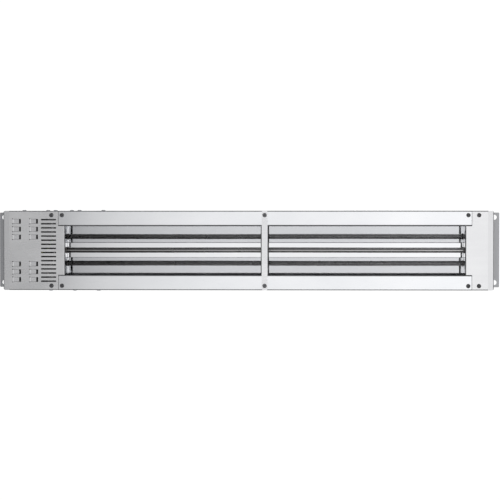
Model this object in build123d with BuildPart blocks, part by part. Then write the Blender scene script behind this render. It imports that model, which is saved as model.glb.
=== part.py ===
from build123d import *
import os
from math import pi, sqrt, tan

# Infrared strip food warmer, hung with its heating face down.  Millimetres.
# Origin: centre of the four hanging holes, on the top plane.  +X runs along the
# strip away from the control bay, +Z is up, and the heating face looks down -Z.

os.makedirs("parts", exist_ok=True)

# --- overall sizes -----------------------------------------------------------
body_length = 915.5  # end wall to end wall
body_width = 148.4  # outside of the side walls
body_height = 64.0  # top plane to heating face
flange_reach = 18.0  # hanging flange past each end wall
flange_step = 3.2  # flange narrower than the body on each side

# --- sheet metal -------------------------------------------------------------
sheet = 1.0  # housing, covers and end plates
bend = 1.5  # bend radius on the middle of the sheet
seam = 0.3  # gap left between sheet edges that meet
cover_gap = 0.8  # edge of each cover to the rails
corner = 3.5  # outside radius of the covers' upright corners
cover_return = 8.0  # cover's side wall, from the end wall inwards

# --- heating face ------------------------------------------------------------
control_bay = 103.6  # left end wall to the rails
end_bay = 41.2  # rails to the right end wall
tongue = 11.6  # cover's tongue, past the end of the rails
tongue_lip = 9.0  # up-turned edge of the tongue, face to its top
rail_width = 27.8
lip_height = 13.1  # in-turned lip along each rail's inner edge
facet_length = 11.0  # bent-up strip at the outer end of each cover
facet_rise = 1.2

# --- hanging holes -----------------------------------------------------------
hang_hole = 9.5  # diameter
hang_inset = 8.5  # end wall to hole centre
hang_edge = 9.0  # flange's side edge to hole centre

# --- reflector and element ---------------------------------------------------
reflector_sheet = 0.6
reflector_drop = 20.2  # top plane to the flat
reflector_lap = 1.8  # walls reach this far below the top of the lips
element_clear = 11.5  # flat to the element's axis
element_d = 9.5
cold_end = 18.0  # sheath past each end plate
pin_d = 4.0
pin_length = 16.0  # pin outside the sheath
pin_insert = 24.0  # pin inside the sheath
bush_neck_d = 12.2
bush_flange_d = 18.0
bush_flange = 3.0
tab_hole_y = 6.0  # reflector's end tabs: screws each side of the centre line
tab_half = 10.0
reflector_tab_gap = 10.2  # top of the tab to the top sheet
plate_flange = 14.0  # end plate's top flange

# --- cross strip and element hanger ------------------------------------------
strip_width = 11.0
strip_thick = 1.2
hanger_width = 14.2
hanger_leg = 1.2
hanger_eye_d = 19.0

# --- vents and louvres -------------------------------------------------------
vent_count = 16
vent_pitch = 7.68
vent_length = 28.1
vent_width = 2.8
vent_from_rails = 18.9  # rail end to the middle of the slots
louvre_length = 15.7
louvre_width = 8.8
louvre_mouth = 3.9  # open end of each louvre
louvre_drop = 3.2  # how far the tab's free end is pushed in
louvre_slit = 0.4
louvre_relief = 2.2  # diameter of the relief holes at the tab's root
louvre_pitch_x = 32.0
louvre_pitch_y = 14.6
louvre_inset = 24.95  # left end wall to the middle of the first column
louvre_group_y = 39.8  # centre line to the middle row of each group
side_louvre_count = 7
side_louvre_pitch = 21.7
side_louvre_length = 17.0
side_louvre_height = 3.0
side_louvre_inset = 202.0  # right end wall to the middle of the row
side_louvre_drop = 12.0  # below the top plane
side_louvre_hood = 0.6

# --- fasteners ---------------------------------------------------------------
screw_d = 4.0
screw_play = 0.1  # radial clearance of every screw hole
head_d = 8.0
head_height = 2.4
screw_length = 7.0
face_screw_inset = 8.2  # side wall's outside to the screws in the face
rail_screw_inset = 6.2  # rail end to its screw
cover_screw_offset = 13.6  # rail end to the cover's screw
tab_width = 16.0  # housing's tab under each cover screw
tab_reach = 15.0
side_head_d = 7.8
side_head_height = 2.1
side_screw_pitch = 45.0
splice_thick = 1.5
splice_height = 12.0
splice_end = 6.0  # strip past its last screw
splice_near_high = 10.9  # partition to the nearest screw of the upper row
splice_near_low = 17.2  # the same, of the lower rows
splice_low = 15.0  # face to the lower row of side screws
splice_high = 34.0
splice_shift = 9.0  # rear row is set this much further into the bay
rivet_d = 4.0
rivet_head_d = 6.6
rivet_head = 1.2
rivet_y = 42.0
nut_flats = 7.0
nut_thick = 3.2

# --- control bay -------------------------------------------------------------
lead_d = 3.2
lead_hole_d = 9.0  # hole in each end plate for the return lead
lead_from_wall = 13.2
lead_above_lip = 8.0
lead_bow = 16.0  # last bends of the return lead, inside its long run
ring_d = 9.0
ring_thick = 0.8
barrel_d = 4.4
barrel_start = 5.0  # pin's axis to the near end of the barrel
barrel_length = 8.0
block_inset = 34.0  # left end wall to the block's middle
block_y = 22.0
block_size = (30.0, 52.0, 17.0)
pole_pitch = 15.0
block_screw_inset = 4.5
terminal_screw_d = 5.0
ground_nut_thick = 3.2
pad_margin = 31.0  # side wall's inside to the pad
pad_air = 5.3  # pad to the top sheet
inlet_inset = 32.0
inlet_y = -38.0
inlet_hole_d = 22.0
inlet_bore_d = 16.0
inlet_flange_d = 28.0
inlet_flange = 1.6
inlet_neck = 11.0
ground_inset = 83.0
ground_y = -46.0

# --- worked out from the sizes above -----------------------------------------
end_x = body_length / 2
half_width = body_width / 2
inside_half = half_width - sheet
face_z = -body_height
face_inside = face_z + sheet
rail_start = -end_x + control_bay
rail_end = end_x - end_bay
opening_start = rail_start + tongue
opening_end = rail_end - tongue
opening_half = half_width - rail_width
strip_x = (opening_start + opening_end) / 2
side_louvre_x = end_x - side_louvre_inset
face_screw_y = half_width - face_screw_inset
flange_width = body_width - 2 * flange_step
hang_spacing_y = flange_width - 2 * hang_edge
lip_top = face_z + lip_height
flat_z = -reflector_drop
element_z = flat_z - element_clear
plate_setback = sheet + seam  # the plates stand behind the tongues' lips
left_plate = opening_start - plate_setback - sheet  # outer face of the plate
right_plate = opening_end + plate_setback
plate_half = inside_half - splice_thick - seam
wall_sum = opening_half + lip_height - reflector_lap  # half width + depth on a wall
lead_y = inside_half - lead_from_wall
lead_z = lip_top + lead_above_lip
block_x = -end_x + block_inset
inlet_x = -end_x + inlet_inset
ground_x = -end_x + ground_inset
screw_r = screw_d / 2
hole_r = screw_r + screw_play
sheath_start = left_plate - cold_end
sheath_end = right_plate + sheet + cold_end
ring_left = sheath_start - nut_thick - ring_thick / 2
ring_right = sheath_end + nut_thick + ring_thick / 2
reflector_tab_h = -sheet - reflector_tab_gap - flat_z
tab_hole_z = flat_z + reflector_tab_h / 2 + reflector_sheet
partition = left_plate + sheet / 2
tab_x = (rail_start - cover_screw_offset, rail_end + cover_screw_offset)
rivet_x = (left_plate - plate_flange / 2, right_plate + sheet + plate_flange / 2)
splice_span = 2 * side_screw_pitch
toward_bay = [partition + splice_near_high - i * side_screw_pitch for i in range(3)]
toward_lamp = [partition - splice_near_low + i * side_screw_pitch for i in range(3)]
splice_rows = (
    (-1, face_z + splice_high, toward_bay),
    (-1, face_z + splice_low, toward_lamp),
    (1, face_z + splice_low, [x - splice_shift for x in toward_lamp]),
)
block_screw_at = [
    (block_x, block_y + side * (block_size[1] / 2 - block_screw_inset), -sheet / 2) for side in (-1, 1)
]


def write(piece, name):
    """Label one finished piece and write it as its own STEP file."""
    piece.part.label = name
    export_step(piece.part, f"parts/{name}.step")


# --- housing -----------------------------------------------------------------
# One folded sheet: top, two side walls, the two face rails and their lips.
mid_side = half_width - sheet / 2
mid_face = face_z + sheet / 2
mid_lip = opening_half + sheet / 2
side_end = end_x - cover_return - seam

with BuildPart() as housing:
    with BuildSketch(Plane.YZ.offset(rail_start)):
        with BuildLine():
            FilletPolyline(
                (-mid_lip, lip_top),
                (-mid_lip, mid_face),
                (-mid_side, mid_face),
                (-mid_side, -sheet / 2),
                (mid_side, -sheet / 2),
                (mid_side, mid_face),
                (mid_lip, mid_face),
                (mid_lip, lip_top),
                radius=bend,
            )
        trace(line_width=sheet)
    extrude(amount=rail_end - rail_start)
    # over the two bays there is no rail: the side walls stop above the cover
    with BuildSketch(Plane.YZ.offset(-side_end)):
        with BuildLine():
            FilletPolyline(
                (-mid_side, face_inside + seam),
                (-mid_side, -sheet / 2),
                (mid_side, -sheet / 2),
                (mid_side, face_inside + seam),
                radius=bend,
            )
        trace(line_width=sheet)
    extrude(amount=2 * side_end)
    # hanging flanges carry the top sheet on past the end walls
    with BuildSketch(Plane.XY.offset(-sheet)):
        flange_length = 2 * (end_x + flange_reach)
        RectangleRounded(flange_length, flange_width, 2 * sheet)
        with GridLocations(2 * (end_x + hang_inset), hang_spacing_y, 2, 2):
            Circle(hang_hole / 2, mode=Mode.SUBTRACT)
    extrude(amount=sheet)
    # tabs bent in from the side walls, under the covers' screws
    tab_y = inside_half - tab_reach / 2
    for x in tab_x:
        with Locations((x, tab_y, face_inside + sheet / 2), (x, -tab_y, face_inside + sheet / 2)):
            Box(tab_width, tab_reach + sheet, sheet)
    # seven low louvres in the front wall, beside the reflector
    with BuildSketch(Plane.XZ.offset(half_width)):
        with Locations((side_louvre_x, -side_louvre_drop)):
            with GridLocations(side_louvre_pitch, 1, side_louvre_count, 1):
                RectangleRounded(side_louvre_length, side_louvre_height, sheet)
    extrude(amount=side_louvre_hood)
    with BuildSketch(Plane.XZ.offset(inside_half - seam)):
        with Locations((side_louvre_x, -side_louvre_drop - side_louvre_hood)):
            with GridLocations(side_louvre_pitch, 1, side_louvre_count, 1):
                Rectangle(side_louvre_length - 2 * sheet, side_louvre_height - 2 * side_louvre_hood)
    extrude(amount=2 * sheet, mode=Mode.SUBTRACT)
    # screw holes through the rails and the tabs
    hole_x = (
        rail_start - cover_screw_offset,
        rail_start + rail_screw_inset,
        strip_x,
        rail_end - rail_screw_inset,
        rail_end + cover_screw_offset,
    )
    with Locations(*[(x, s * face_screw_y, mid_face) for x in hole_x for s in (-1, 1)]):
        Cylinder(hole_r, 4 * sheet, mode=Mode.SUBTRACT)
    # holes in the top for the plate rivets, the ground screw and the inlet bushing,
    # and in the side walls for the splice strips' screws
    with Locations(*[(x, y, -sheet / 2) for x in rivet_x for y in (-rivet_y, rivet_y)]):
        Cylinder(rivet_d / 2 + screw_play, 4 * sheet, mode=Mode.SUBTRACT)
    with Locations((ground_x, ground_y, -sheet / 2), *block_screw_at):
        Cylinder(hole_r, 4 * sheet, mode=Mode.SUBTRACT)
    with Locations((inlet_x, inlet_y, -sheet / 2)):
        Cylinder(inlet_hole_d / 2, 4 * sheet, mode=Mode.SUBTRACT)
    for side, z, xs in splice_rows:
        with Locations(*[Location((x, side * mid_side, z), (90, 0, 0)) for x in xs]):
            Cylinder(hole_r, 4 * sheet, mode=Mode.SUBTRACT)
write(housing, "housing")


# --- covers ------------------------------------------------------------------
def pan_block(inner_x, inset):
    """Solid outline of the right-hand cover, or of its inside when inset by one sheet."""
    slope = facet_rise / facet_length
    slant = sqrt(1 + slope**2)
    low = face_z + inset
    high = inset - sheet - seam
    start = inner_x + cover_gap - inset
    with BuildPart() as block:
        with BuildSketch(Plane.XZ):
            with BuildLine():
                Polyline(
                    (start, low),
                    (end_x - facet_length - inset * (slant - 1) / slope, low),
                    (end_x - inset, face_z + (facet_length - inset) * slope + inset * slant),
                    (end_x - inset, high),
                    (start, high),
                    close=True,
                )
            make_face()
        extrude(amount=half_width - inset, both=True)
        fillet(block.edges().filter_by(Axis.Z).group_by(Axis.X)[-1], corner - inset)
        fillet(block.edges().group_by(Axis.Z)[0].filter_by(Axis.X), bend + sheet / 2 - inset)
    return block.part


def cover_blank(bay, right_side):
    """Face, bent-up facet, end wall and returns of the cover that closes one end.

    Made for the right end and mirrored for the left, with its tongue between the
    rails and two joggled tabs that lie on the inside of the rails.
    """
    inner_x = end_x - bay  # the ends of the rails
    outside = pan_block(inner_x, 0)
    inside = pan_block(inner_x, sheet)
    with BuildPart() as pan:
        add(outside)
        add(inside, mode=Mode.SUBTRACT)
        # the housing's side walls take over from the cover's returns
        wall_cut = end_x - cover_return - inner_x
        for side in (-1, 1):
            with Locations((inner_x, side * half_width, face_inside)):
                Box(
                    wall_cut,
                    4 * sheet,
                    body_height,
                    align=(Align.MIN, Align.CENTER, Align.MIN),
                    mode=Mode.SUBTRACT,
                )
        # tongue between the rails' lips, its edge turned up like theirs
        with BuildSketch(Plane.XZ):
            with BuildLine():
                FilletPolyline(
                    (inner_x + 2 * sheet, mid_face),
                    (inner_x - tongue + sheet / 2, mid_face),
                    (inner_x - tongue + sheet / 2, face_z + tongue_lip),
                    radius=bend,
                )
            trace(line_width=sheet)
        extrude(amount=opening_half - cover_gap, both=True)
        # joggled tabs on the inside of the rails, with a lap on the cover
        tab_low = opening_half + sheet + bend
        tab_high = inside_half - bend
        tab_lap = cover_screw_offset - tab_width / 2 - seam  # stops short of the housing's tabs
        with BuildSketch(Plane.XY.offset(face_inside)):
            for side in (-1, 1):
                with Locations((inner_x + tab_lap, side * (tab_low + tab_high) / 2)):
                    Rectangle(
                        tongue + tab_lap,
                        tab_high - tab_low,
                        align=(Align.MAX, Align.CENTER),
                    )
        extrude(amount=sheet)
        with Locations(
            *[
                (inner_x + dx, side * face_screw_y, face_z)
                for dx in (-rail_screw_inset, cover_screw_offset)
                for side in (-1, 1)
            ]
        ):
            Cylinder(hole_r, 6 * sheet, mode=Mode.SUBTRACT)
    return pan.part if right_side else mirror(pan.part, about=Plane.YZ)


with BuildPart() as end_cover:
    add(cover_blank(end_bay, right_side=True))
write(end_cover, "end_cover")

vent_x = rail_start - vent_from_rails
louvre_columns = [-end_x + louvre_inset + i * louvre_pitch_x for i in (0, 1)]
louvre_rows = [
    side * (louvre_group_y + i * louvre_pitch_y) for side in (-1, 1) for i in (-1, 0, 1)
]
with BuildPart() as control_cover:
    add(cover_blank(control_bay, right_side=False))
    with BuildSketch(Plane.XY.offset(face_z)):
        with Locations((vent_x, 0)):
            with GridLocations(1, vent_pitch, 1, vent_count):
                RectangleRounded(vent_length, vent_width, 0.2 * vent_width)
        with Locations(*[(x, y) for x in louvre_columns for y in louvre_rows]):
            Rectangle(louvre_length, louvre_width)
            with GridLocations(1, louvre_width, 1, 2):
                with Locations((-louvre_length / 2, 0)):
                    Circle(louvre_relief / 2)
    extrude(amount=2 * sheet, both=True, mode=Mode.SUBTRACT)
    # each louvre is a tab still joined at its outer end and pushed in at the other
    for x in louvre_columns:
        for y in louvre_rows:
            root = x - louvre_length / 2
            tip = root + louvre_length - louvre_mouth
            with BuildSketch(Plane.XZ.offset(-y)):
                with BuildLine():
                    Polyline(
                        (root - sheet, face_z),
                        (root + sheet, face_z),
                        (tip, face_z + louvre_drop),
                        (tip, face_inside + louvre_drop),
                        (root + sheet, face_inside),
                        (root - sheet, face_inside),
                        close=True,
                    )
                make_face()
            extrude(amount=louvre_width / 2 - louvre_slit, both=True)
write(control_cover, "control_cover")

# --- reflector ---------------------------------------------------------------
# Polished trough: a flat above the element and two walls at 45 degrees, with an
# upright tab at each end of the flat that is screwed to the end plate.
half_sheet = reflector_sheet / 2
wall_end = opening_half - seam - reflector_sheet
with BuildPart() as reflector:
    with BuildSketch(Plane.YZ.offset(left_plate + sheet + seam)):
        mid_sum = wall_sum + half_sheet * sqrt(2)
        mid_flat = flat_z + half_sheet
        mid_half = mid_sum - (mid_flat - face_z)
        with BuildLine():
            FilletPolyline(
                (-wall_end, face_z + mid_sum - wall_end),
                (-mid_half, mid_flat),
                (mid_half, mid_flat),
                (wall_end, face_z + mid_sum - wall_end),
                radius=2 * reflector_sheet,
            )
        trace(line_width=reflector_sheet)
    extrude(amount=right_plate - left_plate - sheet - 2 * seam)
    for x, side in ((left_plate + sheet + seam, 1), (right_plate - seam, -1)):
        with Locations((x + side * half_sheet, 0, flat_z + reflector_tab_h / 2)):
            Box(reflector_sheet, 2 * tab_half, reflector_tab_h)
    with Locations(*[Location((0, y, tab_hole_z), (0, 90, 0)) for y in (-tab_hole_y, tab_hole_y)]):
        Cylinder(hole_r, 2 * body_length, mode=Mode.SUBTRACT)
write(reflector, "reflector")


# --- end plates --------------------------------------------------------------
def end_plate(outer_x, side):
    """Upright plate that closes one end of the trough, with its flange under the top.

    side is -1 for the left plate, whose flange runs to -X, and 1 for the right one.
    """
    with BuildPart() as plate:
        with BuildSketch(Plane.YZ.offset(min(outer_x, outer_x - side * sheet))):
            with BuildLine():
                Polyline(
                    (-plate_half, lip_top + seam),
                    (-opening_half + 2 * seam, lip_top + seam),
                    (-opening_half + 2 * seam, face_inside + 2 * seam),
                    (opening_half - 2 * seam, face_inside + 2 * seam),
                    (opening_half - 2 * seam, lip_top + seam),
                    (plate_half, lip_top + seam),
                    (plate_half, -sheet - bend),
                    (-plate_half, -sheet - bend),
                    close=True,
                )
            make_face()
            with Locations((0, element_z)):
                Circle(bush_neck_d / 2 + screw_play, mode=Mode.SUBTRACT)
            with Locations((lead_y, lead_z)):
                Circle(lead_hole_d / 2, mode=Mode.SUBTRACT)
            with Locations((-tab_hole_y, tab_hole_z), (tab_hole_y, tab_hole_z)):
                Circle(hole_r, mode=Mode.SUBTRACT)
        extrude(amount=sheet)
        with BuildSketch(Plane.XZ):
            with BuildLine():
                FilletPolyline(
                    (outer_x - side * sheet / 2, -sheet - 2 * bend),
                    (outer_x - side * sheet / 2, -1.5 * sheet),
                    (outer_x + side * (plate_flange - sheet), -1.5 * sheet),
                    radius=sheet,
                )
            trace(line_width=sheet)
        extrude(amount=plate_half - corner, both=True)
        with Locations(*[(outer_x + side * plate_flange / 2, y, -sheet) for y in (-rivet_y, rivet_y)]):
            Cylinder(rivet_d / 2 + screw_play, 4 * sheet, mode=Mode.SUBTRACT)
    return plate.part


for name, outer_x, side in (
    ("end_plate_left", left_plate, -1),
    ("end_plate_right", right_plate + sheet, 1),
):
    with BuildPart() as plate_piece:
        add(end_plate(outer_x, side))
    write(plate_piece, name)

# --- heating element ---------------------------------------------------------
# Straight sheathed rod; a threaded pin stands in a bore in each cold end.
element_line = Plane(origin=(0, 0, element_z), z_dir=(1, 0, 0))
with BuildPart() as element:
    with BuildSketch(element_line.offset(sheath_start)):
        Circle(element_d / 2)
    extrude(amount=sheath_end - sheath_start)
    chamfer(element.edges().filter_by(GeomType.CIRCLE), 0.4)
    for x in (sheath_start - sheet, sheath_end - pin_insert):
        with BuildSketch(element_line.offset(x)):
            Circle(pin_d / 2 + screw_play / 2)
        extrude(amount=pin_insert + sheet, mode=Mode.SUBTRACT)
write(element, "heating_element")

with BuildPart() as pins:
    for x in (sheath_start - pin_length, sheath_end - pin_insert + 1):
        with BuildSketch(element_line.offset(x)):
            Circle(pin_d / 2)
        extrude(amount=pin_length + pin_insert - 1)
write(pins, "element_pins")

# ceramic bushings: the neck fills the plate's hole, the collar stands outside it
with BuildPart() as bushings:
    for outer_x, side in ((left_plate, -1), (right_plate + sheet, 1)):
        with BuildSketch(element_line.offset(outer_x)):
            Circle(bush_flange_d / 2)
        extrude(amount=side * bush_flange)
        with BuildSketch(element_line.offset(outer_x)):
            Circle(bush_neck_d / 2)
        extrude(amount=-side * 2 * sheet)
        with BuildSketch(element_line.offset(outer_x - side * 3 * sheet)):
            Circle(element_d / 2 + 2 * screw_play)
        extrude(amount=side * (bush_flange + 4 * sheet), mode=Mode.SUBTRACT)
write(bushings, "element_bushings")


# --- leads -------------------------------------------------------------------
# crimp ring: the eye lies in the xy plane and the barrel runs along x, below it
barrel_end = barrel_start + barrel_length
barrel_drop = (barrel_d - ring_thick) / 2
with BuildPart() as ring_blank:
    Cylinder(ring_d / 2, ring_thick)
    with Locations((ring_d / 2 + ring_thick, 0, 0)):
        Box(ring_d / 2, barrel_d, ring_thick)
    with BuildSketch(Plane.YZ.offset(barrel_start)):
        with Locations((0, -barrel_drop)):
            Circle(barrel_d / 2)
    extrude(amount=barrel_length)
    Cylinder(hole_r, 4 * sheet, mode=Mode.SUBTRACT)

pin_planes = [
    Plane(origin=(x, 0, element_z), x_dir=(0, 1, 0), z_dir=(1, 0, 0)) for x in (ring_left, ring_right)
]
ground_plane = Plane(
    origin=(ground_x, ground_y, -sheet - ring_thick / 2), x_dir=(0, 1, 0), z_dir=(0, 0, 1)
)
with BuildPart() as rings:
    with Locations(*[plane.location for plane in (*pin_planes, ground_plane)]):
        add(ring_blank.part)
write(rings, "ring_terminals")


def lead_along(points):
    """Round insulated lead along straight runs joined by the largest tangent arcs."""
    corners = [Vector(*p) for p in points]
    runs = [b - a for a, b in zip(corners, corners[1:])]
    radii = [
        0.45 * min(a.length, b.length) / tan(a.get_angle(b) * pi / 360)
        for a, b in zip(runs, runs[1:])
    ]
    with BuildPart() as lead:
        with BuildLine() as route:
            FilletPolyline(*points, radius=radii)
        with BuildSketch(Plane(origin=points[0], z_dir=runs[0])):
            Circle(lead_d / 2)
        sweep(path=route.wires()[0])
    print("lead", round(route.wires()[0].length, 1), "mm, tightest radius", round(min(radii), 1))
    return lead.part


block_right = block_x + block_size[0] / 2
pole_z = -sheet - 0.55 * block_size[2]
ground_lead_z = ground_plane.origin.Z - barrel_drop


def lead_piece(points, name):
    with BuildPart() as lead:
        add(lead_along(points))
    write(lead, name)


# the block feeds the near pin, the far pin and the earth stud on the top sheet
lead_piece(
    [
        (ring_left - barrel_drop, barrel_end, element_z),
        (ring_left - barrel_drop, 26, element_z),
        (ring_left - 14, 32, element_z + 10),
        (block_right + 12, block_y, pole_z),
        (block_right, block_y, pole_z),
    ],
    "lead_near",
)
lead_piece(
    [
        (ring_right - barrel_drop, barrel_end, element_z),
        (ring_right - barrel_drop, lead_y - lead_bow, element_z),
        (right_plate + 14, lead_y, lead_z),
        (left_plate - 14, lead_y, lead_z),
        (left_plate - 32, lead_y - lead_bow, lead_z + 6),
        (block_right + 14, block_y + pole_pitch, pole_z),
        (block_right, block_y + pole_pitch, pole_z),
    ],
    "lead_return",
)
lead_piece(
    [
        (block_right, block_y - pole_pitch, pole_z),
        (block_right + 15, block_y - pole_pitch, pole_z),
        (block_right + 31, block_y - pole_pitch - 14, pole_z - 4),
        (ground_x, ground_y + barrel_end + 13, ground_lead_z),
        (ground_x, ground_y + barrel_end, ground_lead_z),
    ],
    "ground_lead",
)


# --- fasteners ---------------------------------------------------------------
def pan_screw(diameter, height, length):
    """Pan head with a cross recess, its underside on z = 0 and its shank down -Z."""
    dome = height / 2
    with BuildPart() as screw:
        with BuildSketch(Plane.XZ):
            with BuildLine():
                Polyline((0, height), (0, -length), (screw_r, -length), (screw_r, 0), (diameter / 2, 0))
                Line((diameter / 2, 0), (diameter / 2, height - dome))
                RadiusArc((diameter / 2, height - dome), (0, height), -diameter)
            make_face()
        revolve(axis=Axis.Z)
        with BuildSketch(Plane.XY.offset(height)):
            for turn in (0, 90):
                with Locations(Location((0, 0, 0), turn)):
                    Rectangle(0.56 * diameter, 0.14 * diameter)
        extrude(amount=-0.55 * height, taper=8, mode=Mode.SUBTRACT)
    return screw.part


def screw_group(name, blank, places):
    """Identical screws as separate solids in one node; each place is (x, y, z, rotation)."""
    with BuildPart() as group:
        for *place, turn in places:
            with Locations(Location(tuple(place), turn)):
                add(blank)
    write(group, name)


def hex_nut(thick):
    with BuildPart() as nut:
        with BuildSketch():
            RegularPolygon(nut_flats / 2, 6, major_radius=False)
            Circle(hole_r, mode=Mode.SUBTRACT)
        extrude(amount=thick)
    return nut.part


face_screw = pan_screw(head_d, head_height, screw_length)
side_screw = pan_screw(side_head_d, side_head_height, screw_length)
down, front, back = (180, 0, 0), (90, 0, 0), (-90, 0, 0)
screw_group(
    "rail_screws",
    face_screw,
    [
        (x, side * face_screw_y, face_z, down)
        for x in (rail_start + rail_screw_inset, rail_end - rail_screw_inset)
        for side in (-1, 1)
    ],
)
screw_group(
    "cover_screws",
    face_screw,
    [(x, side * face_screw_y, face_z, down) for x in tab_x for side in (-1, 1)],
)
screw_group(
    "strip_screws",
    face_screw,
    [(strip_x, side * face_screw_y, face_z - strip_thick, down) for side in (-1, 1)],
)
for name, side, turn in (("side_screws_front", -1, front), ("side_screws_rear", 1, back)):
    screw_group(
        name,
        side_screw,
        [(x, side * half_width, z, turn) for s, z, xs in splice_rows if s == side for x in xs],
    )
screw_group("block_screws", side_screw, [(x, y, 0, (0, 0, 0)) for x, y, _ in block_screw_at])
screw_group(
    "reflector_screws",
    side_screw,
    [
        (x, side * tab_hole_y, tab_hole_z, turn)
        for x, turn in ((left_plate, (0, -90, 0)), (right_plate + sheet, (0, 90, 0)))
        for side in (-1, 1)
    ],
)

with BuildPart() as ground_screw:
    with Locations((ground_x, ground_y, 0)):
        add(pan_screw(head_d, head_height, sheet + ring_thick + ground_nut_thick + screw_d))
write(ground_screw, "ground_screw")

with BuildPart() as ground_nut:
    with Locations((ground_x, ground_y, -sheet - ring_thick - ground_nut_thick)):
        add(hex_nut(ground_nut_thick))
write(ground_nut, "ground_nut")

with BuildPart() as pin_nuts:
    nut_starts = (
        sheath_start - nut_thick,
        sheath_start - 2 * nut_thick - ring_thick,
        sheath_end,
        sheath_end + nut_thick + ring_thick,
    )
    for x in nut_starts:
        with Locations(Location((x, 0, element_z), (0, 90, 0))):
            add(hex_nut(nut_thick))
write(pin_nuts, "pin_nuts")

with BuildPart() as rivets:
    for x in rivet_x:
        for y in (-rivet_y, rivet_y):
            with Locations((x, y, 0)):
                Cylinder(rivet_d / 2, 3 * sheet, align=(Align.CENTER, Align.CENTER, Align.MAX))
                Cone(
                    rivet_head_d / 2,
                    rivet_d / 2,
                    rivet_head,
                    align=(Align.CENTER, Align.CENTER, Align.MIN),
                )
write(rivets, "plate_rivets")

# --- splice strips -----------------------------------------------------------
# Flat bars inside the side walls, across the partition, tapped for the side screws.
for name, (side, z, xs) in zip(
    ("splice_strip_front_upper", "splice_strip_front_lower", "splice_strip_rear"), splice_rows
):
    with BuildPart() as splice:
        middle = (min(xs) + max(xs)) / 2
        with Locations((middle, side * (inside_half - splice_thick / 2), z)):
            Box(splice_span + 2 * splice_end, splice_thick, splice_height)
        with Locations(*[Location((x, side * inside_half, z), (90, 0, 0)) for x in xs]):
            Cylinder(hole_r, 4 * splice_thick, mode=Mode.SUBTRACT)
    write(splice, name)

# --- cross strip and element hanger ------------------------------------------
with BuildPart() as cross_strip:
    with BuildSketch(Plane.XY.offset(face_z - strip_thick)):
        with Locations((strip_x, 0)):
            RectangleRounded(strip_width, body_width - 2 * seam, 2 * sheet)
            with GridLocations(1, 2 * face_screw_y, 1, 2):
                Circle(hole_r, mode=Mode.SUBTRACT)
    extrude(amount=strip_thick)
write(cross_strip, "cross_strip")

with BuildPart() as hanger:
    with BuildSketch(Plane.XY.offset(face_z)):
        with Locations((strip_x, 0)):
            Rectangle(hanger_width, 2 * (opening_half - seam))
    extrude(amount=sheet)
    with BuildSketch(Plane.YZ.offset(strip_x - hanger_leg / 2)):
        with Locations((0, (face_z + element_z) / 2)):
            Rectangle(hanger_eye_d / 2, element_z - face_z)
        with Locations((0, element_z)):
            Circle(hanger_eye_d / 2)
            Circle(element_d / 2 + 2 * screw_play, mode=Mode.SUBTRACT)
    extrude(amount=hanger_leg)
write(hanger, "element_hanger")

# --- insulation --------------------------------------------------------------
pad_width = 2 * (inside_half - pad_margin)
pad_floor = flat_z + reflector_sheet + seam
pad_start = left_plate + sheet + 3 * seam + reflector_sheet + 2 * screw_length
pad_end = right_plate - 3 * seam - reflector_sheet - 2 * screw_length
with BuildPart() as pad:
    with Locations(((pad_start + pad_end) / 2, 0, pad_floor)):
        Box(
            pad_end - pad_start,
            pad_width,
            -sheet - pad_air - pad_floor,
            align=(Align.CENTER, Align.CENTER, Align.MIN),
        )
    fillet(pad.edges().filter_by(Axis.X), 3 * sheet)
write(pad, "insulation_pad")

# --- terminal block ----------------------------------------------------------
# Porcelain block under the top plate: three poles, each with two clamp screws.
block_length, block_width, block_height = block_size
pole_ys = [block_y + i * pole_pitch for i in (-1, 0, 1)]
clamp_dx = block_length / 2 - 7
with BuildPart() as block:
    with Locations((block_x, block_y, -sheet)):
        Box(
            block_length,
            block_width,
            block_height,
            align=(Align.CENTER, Align.CENTER, Align.MAX),
        )
    fillet(block.edges().filter_by(Axis.Z), 2)
    with Locations(*[Location((block_x - block_length / 2, y, pole_z), (0, 90, 0)) for y in pole_ys]):
        Cylinder(lead_d / 2 + screw_play, block_length, mode=Mode.SUBTRACT)
    block_floor = -sheet - block_height
    with Locations(*[(block_x + dx, y, block_floor) for dx in (-clamp_dx, clamp_dx) for y in pole_ys]):
        Cylinder(terminal_screw_d / 2 + screw_play, 2 * 6.0, mode=Mode.SUBTRACT)
    with Locations(*[(x, y, -sheet) for x, y, _ in block_screw_at]):
        Cylinder(hole_r, 2 * (screw_length + sheet), mode=Mode.SUBTRACT)
write(block, "terminal_block")

with BuildPart() as clamps:
    for dx in (-clamp_dx, clamp_dx):
        for y in pole_ys:
            with Locations((block_x + dx, y, block_floor + 1)):
                Cylinder(
                    terminal_screw_d / 2,
                    4.0,
                    align=(Align.CENTER, Align.CENTER, Align.MIN),
                )
                Box(
                    terminal_screw_d,
                    0.9,
                    1.2,
                    align=(Align.CENTER, Align.CENTER, Align.MIN),
                    mode=Mode.SUBTRACT,
                )
write(clamps, "terminal_screws")

# --- inlet bushing -----------------------------------------------------------
with BuildPart() as inlet:
    with Locations((inlet_x, inlet_y, 0)):
        Cylinder(inlet_flange_d / 2, inlet_flange, align=(Align.CENTER, Align.CENTER, Align.MIN))
        Cylinder(
            inlet_hole_d / 2 - screw_play,
            inlet_neck,
            align=(Align.CENTER, Align.CENTER, Align.MAX),
        )
        Cylinder(inlet_bore_d / 2, 3 * inlet_neck, mode=Mode.SUBTRACT)
    fillet(inlet.edges().group_by(Axis.Z)[-1].sort_by(SortBy.RADIUS)[-1], inlet_flange / 2)
write(inlet, "inlet_bushing")

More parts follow.
